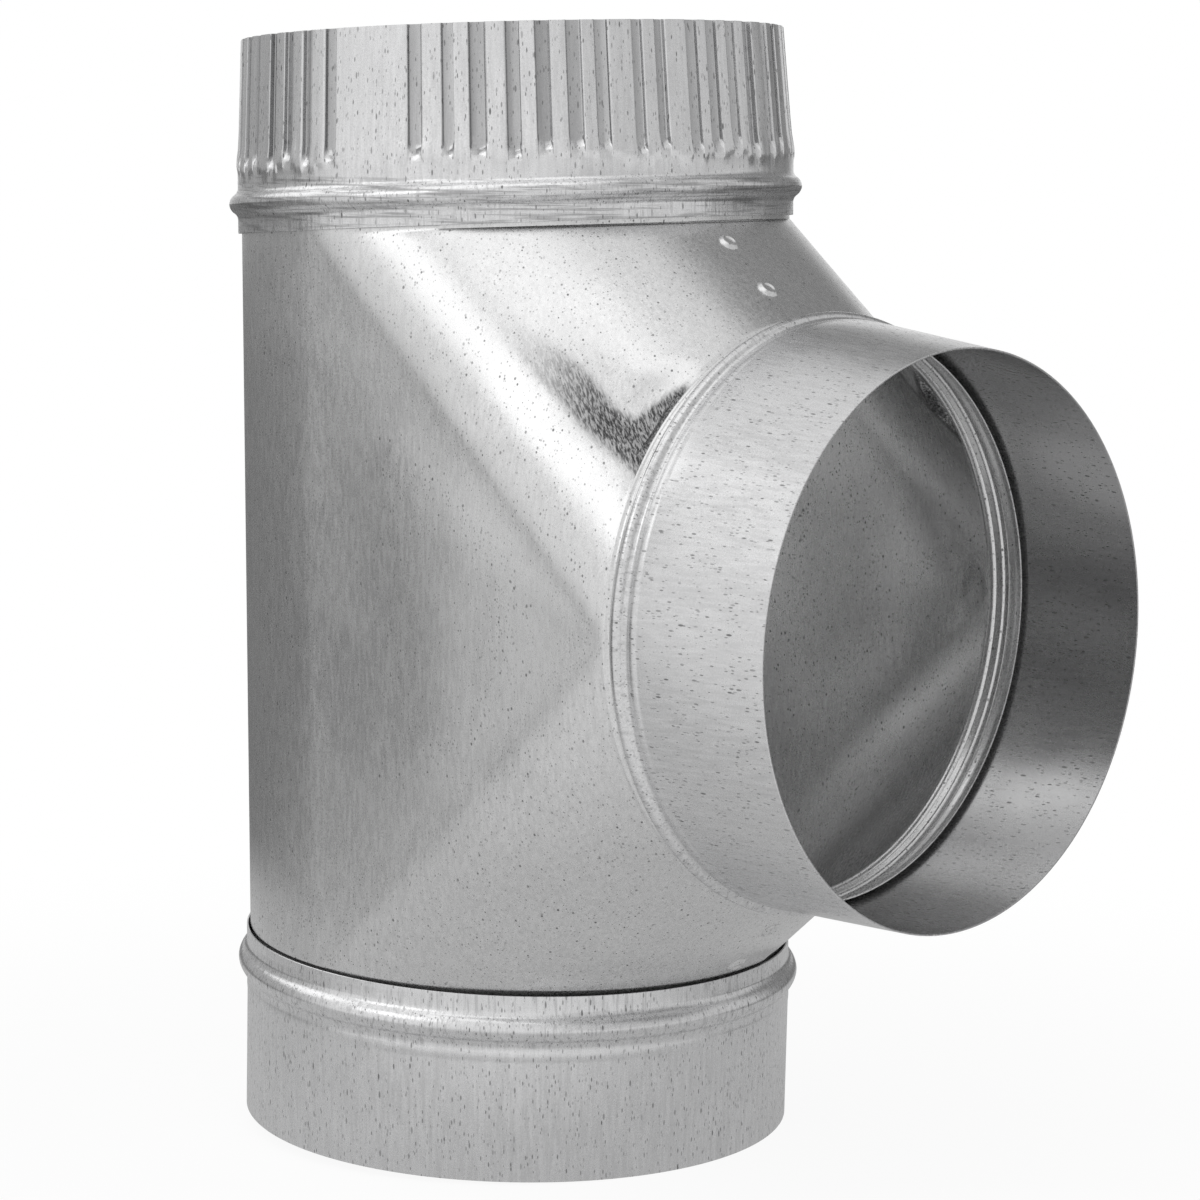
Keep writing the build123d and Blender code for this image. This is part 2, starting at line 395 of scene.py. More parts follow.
def specks_group():
    """Dark pits in the zinc: one to a cell, most cells empty, of uneven size."""
    tree, wires, given, out = group_tree(
        "Zinc specks", {"Vector": None, "Scale": 500.0, "Share": 0.3, "Size": 0.3}, ("Mask",))
    cells = wires.node("ShaderNodeTexVoronoi", feature="F1")
    wires.feed(cells.inputs["Vector"], given["Vector"])
    wires.feed(cells.inputs["Scale"], given["Scale"])
    draw = wires.node("ShaderNodeSeparateColor", cells.outputs["Color"]).outputs
    present = wires.math("LESS_THAN", draw["Red"], given["Share"])
    size = wires.math("MULTIPLY", given["Size"], wires.math("ADD", draw["Green"], 0.35))
    inner = wires.math("MULTIPLY", size, 0.55)
    spot = wires.remap(cells.outputs["Distance"], inner, size, 1.0, 0.0)
    strength = wires.math("ADD", wires.math("MULTIPLY", draw["Blue"], 0.6), 0.4)
    wires.feed(out["Mask"], wires.math("MULTIPLY", wires.math("MULTIPLY", spot, present), strength))
    return tree


def grain_group():
    """Fine frost of the zinc with drawn streaks: a tone, a height and a patchy mask."""
    tree, wires, given, out = group_tree(
        "Zinc grain", {"Vector": None, "Streaked": None, "Frost": 2200.0, "Streaks": 900.0},
        ("Tone", "Height", "Patches"))
    frost = wires.noise(given["Vector"], given["Frost"], 3.0, 0.6)
    streaks = wires.noise(given["Streaked"], given["Streaks"], 3.0, 0.65)
    patches = wires.noise(given["Vector"], 30.0, 4.0, 0.55, 0.4)
    both = wires.math("ADD", wires.math("MULTIPLY", frost, 0.45), wires.math("MULTIPLY", streaks, 0.55))
    wires.feed(out["Tone"], wires.remap(both, 0.32, 0.68))
    wires.feed(out["Height"], both)
    wires.feed(out["Patches"], wires.remap(patches, 0.35, 0.65))
    return tree


def paint_pucker_shade(wires, spot, base, finish):
    """Painted shade: a dark reflection painted on the pucker's wall, in short dark lines along the slope."""
    pucker_shade = wires.attribute("pucker_shade")
    across, beside, drawn_out = (0.798, 0.0, 0.603), (-0.127, -0.978, 0.168), (0.59, -0.21, -0.78)
    lines = wires.node("ShaderNodeCombineXYZ", *(
        wires.math("MULTIPLY", wires.dot(spot, axis), shorter)
        for axis, shorter in ((across, 1.0), (beside, 1.0), (drawn_out, 0.22))))
    shade_streaks = wires.remap(wires.noise(lines.outputs[0], 2200.0, 2.0, 0.6), 0.36, 0.62)
    pucker_shade_share = wires.math("MULTIPLY", pucker_shade, wires.math("ADD", wires.math("MULTIPLY", shade_streaks, 0.45), 0.55))
    return wires.blend(pucker_shade_share, base, (*finish.shade_streaks, 1))


def bead_marks_and_shade(wires, place, spot, base, finish, ridges, rolls):
    """Marks of the rolling round a bead, with painted shade: the rolling lines also paint the bead's shade on
    the band beside it, and the wrinkles' creases are painted darker. Gives the colour, and the height of the
    wrinkles across it.
    """
    low, high, axis = ridges
    at, soft = wires.split(place)[axis], 1.5 * MM
    zone = wires.math(
        "MULTIPLY", wires.remap(at, low, low + soft), wires.remap(at, high - soft, high, 1.0, 0.0))
    around = tuple(1.0 if n == axis else 0.04 for n in range(3))
    across = tuple(0.1 if n == axis else 1.0 for n in range(3))
    # rolling lines: partly grime lines, partly painted shade of the bead on the band beside it
    rolled = wires.remap(wires.noise(wires.stretch(spot, around), 1400.0, 2.0, 0.6), 0.45, 0.66)
    wrinkles = wires.noise(wires.stretch(spot, across), 1100.0, 1.0, 0.5)
    # painted shade in the wrinkles' creases
    crease_shade = wires.math("MULTIPLY", wires.remap(wrinkles, 0.52, 0.7), 0.3)
    marks = wires.math("MAXIMUM", wires.math("MULTIPLY", rolled, rolls), crease_shade)
    base = wires.blend(wires.math("MULTIPLY", marks, zone), base, (*finish.groove, 1))
    return base, wires.math("MULTIPLY", wires.math("MULTIPLY", wrinkles, zone), 2.6)


def uneven(wires, height, strength, distance, below=None):
    """A Bump node for this height, on top of another's normal."""
    bump = wires.node("ShaderNodeBump")
    bump.inputs["Strength"].default_value = strength
    bump.inputs["Distance"].default_value = distance
    wires.feed(bump.inputs["Height"], height)
    if below:
        wires.feed(bump.inputs["Normal"], below)
    return bump.outputs["Normal"]


def zinc(name, colour, finish, groups, speck_stretch, streak_stretch, ridges=None, rolls=0.0):
    """
    A galvanised material on Object coordinates, with painted shade. The stretches shorten the pattern's
    coordinate along the way that the specks and streaks run. Ridges are the (low, high, axis) of a rolled
    bead, and rolls how strongly the rolling marks, partly painted shade, darken it; with rolls the crimped
    grooves get painted shade too. The body has no ridges: it gets a painted dark reflection on its pucker's
    wall, and its inside gets no painted shade.
    """
    material = bpy.data.materials.new(name)
    material.use_nodes = True
    tree = material.node_tree
    wires = Wiring(tree)
    shader = tree.nodes["Principled BSDF"]
    specks, grain = groups
    place = wires.node("ShaderNodeTexCoord").outputs["Object"]
    spot = wires.node("ShaderNodeMapping", place, (0.0, 0.0, -AXIS_HEIGHT)).outputs["Vector"]
    drawn = wires.stretch(spot, speck_stretch)
    fine_scale, wide_scale, fine_strength = (1500.0, 880.0, 0.85) if ridges else (1200.0, 740.0, 0.6)
    fine = wires.group(specks, Vector=drawn, Scale=fine_scale, Share=0.7, Size=0.3)
    wide = wires.group(specks, Vector=drawn, Scale=wide_scale, Share=0.48, Size=0.24)
    mask = wires.math("MAXIMUM", wires.math("MULTIPLY", fine["Mask"], fine_strength), wide["Mask"])
    tones = wires.group(grain, Vector=spot, Streaked=wires.stretch(spot, streak_stretch))
    pale, deep, dull = (tuple(min(1.0, c * part) for c in colour) for part in (1.10, 0.86, 0.93))
    base = wires.blend(tones["Tone"], (*deep, 1), (*pale, 1))
    base = wires.blend(wires.math("MULTIPLY", tones["Patches"], 0.35), base, (*dull, 1))
    height = wires.math("SUBTRACT", tones["Height"], wires.math("MULTIPLY", mask, 0.5))
    # painted shade: the crimped grooves' floors and their shaded walls are darkened towards the groove colour
    if rolls:
        groove = wires.attribute("groove")
        base = wires.blend(wires.math("MULTIPLY", groove, 0.85), base, (*finish.groove, 1))
    if ridges:
        base, wrinkled = bead_marks_and_shade(wires, place, spot, base, finish, ridges, rolls)
        height = wires.math("ADD", height, wrinkled)
    else:
        # painted shade: a dark reflection painted on the pucker's wall
        base = paint_pucker_shade(wires, spot, base, finish)
    base = wires.blend(wires.math("MULTIPLY", mask, 0.9), base, (*finish.speck, 1))
    # painted shade: the collars' inner faces are darkened towards the inner colour
    if ridges:
        inside = wires.attribute("inside")
        base = wires.blend(wires.math("MULTIPLY", inside, 0.58), base, (*finish.inner, 1))
    wires.feed(shader.inputs["Base Color"], base)
    shader.inputs["Metallic"].default_value = 0.9
    rough = wires.math("ADD", wires.math("MULTIPLY", tones["Tone"], 0.08), finish.roughness - 0.05)
    rough = wires.math("ADD", rough, wires.math("MULTIPLY", tones["Patches"], 0.05))
    rough = wires.math("ADD", rough, wires.math("MULTIPLY", mask, 0.2), clamp=True)
    wires.feed(shader.inputs["Roughness"], rough)
    grained = uneven(wires, height, 0.35, 0.05 * MM)
    swayed = uneven(wires, wires.noise(spot, 26.0, 1.0, 0.4), 0.5, 1.2 * MM, grained)
    wires.feed(shader.inputs["Normal"], swayed)
    return material


def finishes():
    """The zinc materials by name, made once."""
    if "Body zinc" not in bpy.data.materials:
        finish = bpy.context.scene.tee_finish
        groups = specks_group(), grain_group()
        upright, lengthwise = (1.0, 1.0, 0.3), (0.3, 1.0, 1.0)
        zinc("Body zinc", finish.body_zinc, finish, groups, (1.0, 1.0, 0.75), (1.0, 1.0, 0.2))
        zinc("Upper collar zinc", finish.collar_zinc, finish, groups, upright, (1.0, 1.0, 0.06),
             (UPPER[0].z - 4.0 * MM, UPPER[0].z + 12.5 * MM, 2), 0.6)
        zinc("Lower collar zinc", finish.collar_zinc, finish, groups, upright, (1.0, 1.0, 0.1),
             (LOWER[1].z - 16.0 * MM, LOWER[1].z, 2))
        zinc("Branch collar zinc", finish.branch_zinc, finish, groups, lengthwise, (0.1, 1.0, 1.0),
             (BRANCH[0].x, BRANCH[0].x + 6.0 * MM, 0))
    return bpy.data.materials


# ---- pieces

def neck_outline(sheet, collars, which):
    """
    Corners of a neck's outline along its axis, from the bend to the free edge. Zero is its collar's inner
    edge. Each neck has a bead for its collar's bead to lock on.
    """
    r = sheet.neck_radius
    if which == "branch":
        groove = bead(r, -1.8 * MM, 3.2 * MM, -0.8 * MM)
        lock = bead(r, RIB_MIDDLE, 0.7 * collars.rib_width, collars.rib_height + 0.1 * MM)
        curled_in = r - 0.9 * MM
        return [
            (r, -BRANCH_COLLAR_EDGE, 0), *groove, *lock, (r, 6.6 * MM, 0.8 * MM), (curled_in, 8.8 * MM, 0)]
    width, middle, tucked = (collars.upper_bead, UPPER_BEAD_MIDDLE, r)
    if which == "lower":
        width, middle, tucked = (collars.lower_bead, LOWER_BEAD_MIDDLE, r - 0.8 * MM)
    lock = bead(r, middle, 0.86 * width, collars.bead_height + 0.45 * MM)
    free_edge = middle + width / 2 + 3.5 * MM
    return [(r, -0.2 * MM, 0), (tucked, 0.8 * MM, 0), *lock, (r, free_edge, 0)]


def join(bm, part):
    """Adds a finished part to the piece's mesh."""
    made = bpy.data.meshes.new("part")
    part.to_mesh(made)
    part.free()
    bm.from_mesh(made)
    bpy.data.meshes.remove(made)


def add_neck(bm, corners, place):
    """A neck spun on its own axis and put in its place beside the body's mesh."""
    neck = bmesh.new()
    outline(neck, corners)
    spin(neck, 2 * HALF_COLUMNS)
    neck.transform(place)
    join(bm, neck)


# The pucker's curves, by the distance to the bend round the branch in millimetres. The first four are in
# degrees round the slope: the wall's foot and head from the plane of symmetry, the valley's width, and how
# far the painted dark reflection reaches above the head.
WALL_FOOT = profile(-58.0, (-2.8, 0.0, 25.0), (-2.5, 25.0, 60.0))
WALL_HEAD = profile(-47.5, (-4.0, 2.0, 18.0), (-6.0, 22.0, 60.0))
VALLEY_WIDTH = profile(17.0, (-5.0, 3.0, 14.0))
PAINTED_SHADE_WIDTH = profile(11.0, (-11.0, 0.5, 10.0))
PUCKER_START = profile(0.0, (1.0, 0.0, 2.6))
PUCKER_FADE = profile(1.0, (-1.0, 8.0, 54.0))
PAINTED_SHADE_FADE = profile(1.0, (-1.0, 18.0, 62.0))
DENT_START = profile(0.0, (1.0, 0.0, 8.0))
DENT_FADE = profile(1.0, (-1.0, 4.0, 45.0))


class TEE_OT_body_skin(bpy.types.Operator):
    """Wrapped body: half cylinder, flat sides and two sloping fronts, with three necks, a lap and puckers"""

    bl_idname = "tee.body_skin"
    bl_label = "Body skin"

    def execute(self, context):
        scene = context.scene
        sheet, body = scene.tee_sheet, scene.tee_body
        r, run, branch = sheet.neck_radius, body.run_bend, body.branch_bend
        bm = bmesh.new()
        for place in (Matrix.Translation((0, 0, run)), Matrix.Translation((0, 0, -run)),
                      Matrix.Translation((branch, 0, 0)) @ LYING):
            bmesh.ops.create_circle(bm, cap_ends=False, radius=r, segments=2 * HALF_COLUMNS, matrix=place)

        def ring_edges(on_ring, side):
            """Edges of one ring, on one side of it."""
            return [e for e in bm.edges if all(
                on_ring(v.co) and side(v.co) > -TOLERANCE for v in e.verts)
                and side(e.verts[0].co) + side(e.verts[1].co) > TOLERANCE]

        def at_run(up, front):
            return ring_edges(lambda co: abs(co.z - up * run) < TOLERANCE, lambda co: front * co.x)

        def at_branch(up):
            return ring_edges(lambda co: abs(co.x - branch) < TOLERANCE, lambda co: up * co.z)

        sets = [(at_run(up, 1), at_branch(up), SLOPE_ROWS) for up in (1, -1)]
        sets.append((at_run(1, -1), at_run(-1, -1), BACK_ROWS))
        for one, other, count in sets:
            made = bmesh.ops.bridge_loops(bm, edges=one + other)
            rungs = [e for e in made["edges"] if e not in one and e not in other]
            bmesh.ops.subdivide_edges(bm, edges=rungs, cuts=count - 1)
        bm.normal_update()

        def along(k):
            """Rows crowd at both bends, so that the bends look folded."""
            t = k / SLOPE_ROWS
            return t + ROW_CROWDING * math.sin(-2 * math.pi * t)

        # the slopes' rows slide along their rulings, and then the flat sides are extruded in the same rows
        for vert in bm.verts:
            co = vert.co
            if co.x < TOLERANCE or abs(abs(co.z) - run) < TOLERANCE or abs(co.x - branch) < TOLERANCE:
                continue
            bulge = math.sqrt(max(r * r - co.y * co.y, 0.0))
            t = (co.x - bulge) / (branch - bulge)
            slid = along(round(t * SLOPE_ROWS))
            up = math.copysign(1, co.z)
            vert.co = (bulge + slid * (branch - bulge), co.y, up * (run + slid * (bulge - run)))
        for side in (1, -1):
            upright = [e for e in bm.edges if all(
                abs(v.co.x) < TOLERANCE and abs(v.co.y - side * r) < TOLERANCE for v in e.verts)]
            start, point = 0.0, Vector((branch, side * r, 0))
            for k in range(1, SLOPE_ROWS + 1):
                made = bmesh.ops.extrude_edge_only(bm, edges=upright)["geom"]
                moved = [g for g in made if isinstance(g, bmesh.types.BMVert)]
                factor = (1 - along(k)) / (1 - start)
                bmesh.ops.scale(
                    bm, vec=(factor, factor, factor), space=Matrix.Translation(-point), verts=moved)
                upright = [g for g in made if isinstance(g, bmesh.types.BMEdge)
                           and all(v in moved for v in g.verts)]
                start = along(k)
        for which, place in (
                ("upper", Matrix.Translation((0, 0, RUN_COLLAR_EDGE))),
                ("lower", Matrix.Translation((0, 0, -RUN_COLLAR_EDGE)) @ UPENDED),
                ("branch", Matrix.Translation((branch + BRANCH_COLLAR_EDGE, 0, 0)) @ LYING)):
            add_neck(bm, neck_outline(sheet, scene.tee_collars, which), place)
        bmesh.ops.remove_doubles(bm, verts=bm.verts[:], dist=0.05 * MM)
        bmesh.ops.recalc_face_normals(bm, faces=bm.faces[:])
        face = min(bm.faces, key=lambda f: f.calc_center_median().x)
        if face.normal.x > 0:
            bmesh.ops.reverse_faces(bm, faces=bm.faces[:])
        bm.normal_update()
        pucker_shade = bm.verts.layers.float.new("pucker_shade")
        places = {vert: self.on_slope(vert.co, r, run, branch) for vert in bm.verts}
        self.lap(bm, body, r, run, branch, places)
        self.pucker(bm, body, r, run, branch, places, pucker_shade)
        self.settle(bm, r, run, branch)
        wall(bm, sheet)
        bmesh.ops.translate(bm, vec=(0, 0, AXIS_HEIGHT), verts=bm.verts[:])
        piece("body_sheet_skin", bm, finishes()["Body zinc"], "body_steel", "body_sheet")
        return {"FINISHED"}

    def on_slope(self, co, r, run, branch):
        """(turn round the slope, share of the way to the branch, way up), or None off the slopes."""
        if abs(co.y) > r or abs(co.z) > run + TOLERANCE or co.x > branch + TOLERANCE:
            return None
        bulge = math.sqrt(max(r * r - co.y * co.y, 0.0))
        if co.x < bulge - TOLERANCE:
            return None
        t = (co.x - bulge) / (branch - bulge)
        up = math.copysign(1, co.z)
        if abs(abs(co.z) - (run + t * (bulge - run))) > 10 * TOLERANCE:
            return None
        return math.asin(max(-1.0, min(1.0, co.y / r))), t, up

    def lap(self, bm, body, r, run, branch, places):
        """The outer sheet climbs to its edge beyond the plane of symmetry, on both slopes."""
        pitch = math.pi / HALF_COLUMNS
        edge = math.asin(body.lap_edge / r)
        last = math.floor(edge / pitch)
        half_step = math.radians(0.1)
        bends = 0.03  # of the slope's length, where the lap is pressed flat
        shifts = {}
        for vert in bm.verts:
            found = places[vert]
            if not found:
                continue
            turn, t, up = found
            column = round(turn / pitch)
            if 0.0 < t < 1.0 and column in (last, last + 1):
                turn = edge - half_step if column == last else edge + half_step
                bulge = r * math.cos(turn)
                vert.co = (bulge + t * (branch - bulge), r * math.sin(turn), up * (run + t * (bulge - run)))
            if column <= last:
                fade = smooth(0.0, bends, t) * smooth(0.0, bends, 1 - t)
                climb = (turn + math.pi / 2) / (edge + math.pi / 2)
                shifts[vert] = vert.normal * body.lap_rise * max(climb, 0.0) * fade
        for vert, shift in shifts.items():
            vert.co += shift

    def pucker(self, bm, body, r, run, branch, places, pucker_shade):
        """
        The upper slope's curve dies out against the branch in a crease on either side: a steep wall that runs
        along the ruling, and a short valley from it up along the branch. The wall is marked for a painted
        dark reflection.
        along the ruling, and a short valley from it up along the branch. The zinc of the wall is strained.
        Both flat sides belly out a little, and the far one has a pointed dent by the branch.
        """
        bm.normal_update()
        shifts = {}
        for vert in bm.verts:
            co = vert.co
            if abs(co.z) < run and 0.0 < co.x < branch and abs(abs(co.y) - r) < 2 * TOLERANCE:
                inward = 1 - abs(co.z) / (run * (1 - co.x / branch) + 1e-6)
                swell = math.sin(math.pi * co.x / branch) ** 2 * smooth(0.0, 0.6, inward)
                vert.co.y += math.copysign(body.side_belly * swell, co.y)
                if co.y > 0:
                    away = (branch - co.x) / MM
                    half_width = 9.0 + 0.7 * away
                    point = 1 - smooth(0.0, half_width, abs(co.z / MM))
                    vert.co.y -= body.side_dent * point * DENT_START(away) * DENT_FADE(away)
                continue
            found = places[vert]
            if not found or found[2] < 0:
                continue
            turn, t = -abs(math.degrees(found[0])), found[1]
            bulge = r * math.cos(found[0])
            to_bend = (1 - t) * math.hypot(branch - bulge, run - bulge) / MM
            foot, head = WALL_FOOT(to_bend), WALL_HEAD(to_bend)
            down = smooth(foot, head, turn)
            up_again = smooth(head - 1.0, head + VALLEY_WIDTH(to_bend), turn)
            depth = body.pucker_depth * PUCKER_FADE(to_bend) * PUCKER_START(to_bend)
            shifts[vert] = vert.normal * (-depth * down * (1 - up_again))
            top = head + PAINTED_SHADE_WIDTH(to_bend)
            band = smooth(foot - 1.2, foot + 1.2, turn) * (1 - smooth(top - 1.4, top + 1.4, turn))
            # how strongly the painted dark reflection darkens this point
            vert[pucker_shade] = band * PAINTED_SHADE_FADE(to_bend)
        for vert, shift in shifts.items():
            vert.co += shift

    def settle(self, bm, r, run, branch):
        """Tilts both ends of the body with the collars that they carry. The branch stays square."""
        for vert in bm.verts:
            co = vert.co
            if co.x > branch - TOLERANCE:
                continue
            if abs(co.z) > run + TOLERANCE:
                lean, bend = (UPPER_LEAN, UPPER_BEND) if co.z > 0 else (LOWER_LEAN, LOWER_BEND)
                beyond = abs(co.z) - RUN_COLLAR_EDGE
                nested = smooth(0.0, 2.0 * MM, beyond)
                tilt = Vector((0.0, 0.0, bend[0] * co.x + bend[1]))
                vert.co += tilt.lerp(lean.shift(co, beyond), nested)
                continue
            level = co.z / run
            if co.x <= 0:
                upper, lower, foot = (1 + level) / 2, (1 - level) / 2, co.x
            else:
                bulge = math.sqrt(max(r * r - co.y * co.y, 0.0))
                foot = min(bulge, co.x)
                rest = 1 - (co.x - foot) / (branch - foot)
                if bulge < 12 * MM:  # the flat sides and what lies next to them
                    upper, lower = max((rest + level) / 2, 0.0), max((rest - level) / 2, 0.0)
                else:
                    upper, lower = (rest, 0.0) if co.z > 0 else (0.0, rest)
            vert.co.z += upper * (UPPER_BEND[0] * foot + UPPER_BEND[1])
            vert.co.z += lower * (LOWER_BEND[0] * foot + LOWER_BEND[1])


class TEE_OT_seam_buttons(bpy.types.Operator):
    """Clinched buttons in a line down each lapped slope: a low dome with a dimple beaten into it"""

    bl_idname = "tee.seam_buttons"
    bl_label = "Seam buttons"

    def execute(self, context):
        scene = context.scene
        sheet, body = scene.tee_sheet, scene.tee_body
        r, run, branch = sheet.neck_radius, body.run_bend, body.branch_bend
        slope = math.atan2(run - r, branch - r)
        lift = body.lap_rise * (math.pi / 2) / (math.pi / 2 + math.asin(body.lap_edge / r))
        size, high = body.button_radius, body.button_height
        domed = [
            (0.0, 0.35 * high, 0), (0.35 * size, 0.45 * high, 0.12 * size),
            (0.62 * size, 1.05 * high, 0.15 * size), (size, -0.1 * high, 0.1 * size), (size, -0.4 * high, 0)]
        bm = bmesh.new()
        # which slope, and millimetres down it and across it
        for up, down, aside in ((1, 9.0, -3.2), (1, 27.7, -4.4), (-1, 6.3, 3.1), (-1, 24.7, 0.7)):
            button = bmesh.new()
            outline(button, domed)
            spin(button, BUTTON_STEPS)
            across, drop = down * MM * math.cos(slope), down * MM * math.sin(slope)
            normal = Vector((math.sin(slope), 0, up * math.cos(slope)))
            seat = Vector((r + across, aside * MM, up * (run - drop))) + lift * normal
            rise, shift = UPPER_BEND if up > 0 else LOWER_BEND
            seat.z += (1 - across / (branch - r)) * (rise * r + shift)
            turn = normal.to_track_quat("Z", "Y").to_matrix().to_4x4()
            button.transform(Matrix.Translation(seat + Vector((0, 0, AXIS_HEIGHT))) @ turn)
            join(bm, button)
        piece("seam_buttons", bm, finishes()["Body zinc"], "body_steel")
        return {"FINISHED"}


class TEE_OT_crimped_collar(bpy.types.Operator):
    """Crimped collar: beaded below and fluted above, the flutes uneven and running out in ragged points"""

    bl_idname = "tee.crimped_collar"
    bl_label = "Crimped collar"

    def execute(self, context):
        scene = context.scene
        sheet, collars = scene.tee_sheet, scene.tee_collars
        r = sheet.pipe_radius
        high = UPPER[1].z - UPPER[0].z
        low, top = FLUTE_ROOT - 1.0 * MM, FLUTE_ROOT + 7.0 * MM
        bm = bmesh.new()
        outline(bm, [(r, 0, 0), *bead(r, UPPER_BEAD_MIDDLE, collars.upper_bead, collars.bead_height),
                     (r, low, 0), (r, top, 0), (r, high, 0)])
        for start, end, cuts in ((low, top, ROOT_CUTS), (top, high, FLUTE_CUTS)):
            edges = [e for e in bm.edges if abs(min(v.co.z for v in e.verts) - start) < TOLERANCE
                     and abs(max(v.co.z for v in e.verts) - end) < TOLERANCE]
            bmesh.ops.subdivide_edges(bm, edges=edges, cuts=cuts)
        spin(bm, collars.flutes * FLUTE_STEPS)
        pitch = 2 * math.pi / collars.flutes
        grooves = self.grooves(collars, pitch, random.Random(scene.tee_finish.seed))
        groove_shade = bm.verts.layers.float.new("groove")
        for vert in bm.verts:
            if vert.co.z >= low - 1.0 * MM:
                self.crimp(vert, groove_shade, collars, pitch, grooves, r, high)
        wall(bm, sheet)
        for vert in bm.verts:
            vert.co += UPPER_LEAN.shift(vert.co, vert.co.z)
        bmesh.ops.translate(bm, vec=(0, 0, UPPER[0].z), verts=bm.verts[:])
        piece("crimped_collar_skin", bm, finishes()["Upper collar zinc"], "collar_steel", "crimped_collar")
        return {"FINISHED"}

    def grooves(self, collars, pitch, draw):
        """Uneven grooves, one to a pitch: (offset, half floor, side, lower end, depth, askew)."""
        grooves = []
        for n in range(collars.flutes):
            offset = draw.uniform(-0.14, 0.14) * pitch
            middle = n * pitch + offset
            plain = collars.flat_from < math.atan2(math.sin(middle), math.cos(middle)) < collars.flat_to
            floor, slope = pitch * draw.uniform(0.11, 0.21), pitch * draw.uniform(0.07, 0.11)
            end = FLUTE_ROOT + draw.uniform(-1.0, 1.2) * MM
            deep = 0.0 if plain else draw.uniform(0.75, 1.0)
            grooves.append((offset, floor, slope, end, deep, draw.uniform(-0.25, 0.25)))
        return grooves

    def crimp(self, vert, groove_shade, collars, pitch, grooves, r, high):
        """Moves a point of the plain wall to its place in its flute, and marks how much painted shade it gets
        there.
        """
        co = vert.co
        half = FLUTE_STEPS // 2
        step = round(math.atan2(co.y, co.x) / pitch * FLUTE_STEPS)
        n, k = (step + half) // FLUTE_STEPS, (step + half) % FLUTE_STEPS
        offset, floor, slope, end, deep, askew = grooves[n % collars.flutes]
        middle = n * pitch + offset
        edge = floor + slope
        keys = (  # column, angle, share of the depth, painted shade
            (0, (n - 0.5) * pitch, 0.0, 0.0), (4, middle - edge, 0.0, 0.0),
            (5, middle - floor - 0.62 * slope, 0.16, 0.9), (6, middle - floor - 0.38 * slope, 0.84, 1.0),
            (7, middle - floor, 1.0, 0.75), (9, middle + floor, 1.0, 0.5),
            (10, middle + floor + 0.38 * slope, 0.84, 0.4), (11, middle + floor + 0.62 * slope, 0.16, 0.1),
            (12, middle + edge, 0.0, 0.0), (FLUTE_STEPS, (n + 0.5) * pitch, 0.0, 0.0))
        for one, two in zip(keys, keys[1:]):
            if one[0] <= k <= two[0]:
                part = (k - one[0]) / (two[0] - one[0])
                turn, inside, dark = (a + part * (b - a) for a, b in zip(one[1:], two[1:]))
                break
        straight = step * pitch / FLUTE_STEPS
        turn = straight + (turn - straight) * smooth(FLUTE_ROOT - 2.0 * MM, FLUTE_ROOT + 1.0 * MM, co.z)
        aside = (turn - middle) / edge
        rounded_end = end + 2.6 * MM * min(abs(aside), 1.0)
        fade = smooth(rounded_end, rounded_end + 3.2 * MM, co.z)
        bulged = smooth(end - 1.0 * MM, end + 1.6 * MM, co.z) * (
            1 - smooth(end + 2.2 * MM, end + 8.0 * MM, co.z))
        up = max(0.0, min(1.0, (co.z - FLUTE_ROOT) / (high - FLUTE_ROOT)))
        radius = r - collars.crimp_taper * up
        radius -= collars.flute_depth * deep * inside * (1.0 + askew * aside) * fade
        radius += collars.crimp_bulge * deep * (1 - inside) * bulged
        # painted shade of the groove at this point
        vert[groove_shade] = deep * dark * fade
        co.x, co.y = radius * math.cos(turn), radius * math.sin(turn)


class TEE_OT_plain_collars(bpy.types.Operator):
    """Plain collars: the lower one with its wide bead and the branch's with its thin rib"""

    bl_idname = "tee.plain_collars"
    bl_label = "Plain collars"

    def execute(self, context):
        scene = context.scene
        sheet, collars = scene.tee_sheet, scene.tee_collars
        r = sheet.pipe_radius
        below = Matrix.Translation((0, 0, LOWER[1].z)) @ UPENDED
        beside = Matrix.Translation((BRANCH[0].x, 0, AXIS_HEIGHT)) @ LYING
        lower_ridges = (
            (LOWER_BEAD_MIDDLE, collars.lower_bead, collars.bead_height), (16.9 * MM, 4.0 * MM, 0.12 * MM))
        branch_ridges = (
            (RIB_MIDDLE, collars.rib_width, collars.rib_height), (7.6 * MM, 3.6 * MM, 0.2 * MM))
        for node, material, tall, ridges, place in (
                ("lower_collar", "Lower collar zinc", LOWER[1].z - LOWER[0].z, lower_ridges, below),
                ("branch_collar", "Branch collar zinc", BRANCH[1].x - BRANCH[0].x, branch_ridges, beside)):
            bm = bmesh.new()
            corners = [corner for ridge in ridges for corner in bead(r, *ridge)]
            outline(bm, [(r, 0, 0), *corners, (r, tall, 0)])
            rows(bm, COLLAR_ROW)
            spin(bm, COLLAR_STEPS)
            wall(bm, sheet)
            bm.transform(place)
            for vert in bm.verts:
                if node == "lower_collar":
                    vert.co += LOWER_LEAN.shift(vert.co, LOWER[1].z - vert.co.z)
                else:
                    self.draw_in(vert.co, collars)
            piece(f"{node}_skin", bm, finishes()[material], "collar_steel", node)
        return {"FINISHED"}

    def draw_in(self, co, collars):
        """The branch collar narrows and drops a little from its rib to its rim."""
        far = max(co.x - BRANCH[0].x - 10 * MM, 0.0) / (38 * MM)
        rise = co.z - AXIS_HEIGHT
        co.y *= 1 - collars.rim_draw * far
        co.z = AXIS_HEIGHT + rise * (1 - (collars.rim_draw + RIM_OVAL) * far) - collars.rim_drop * far


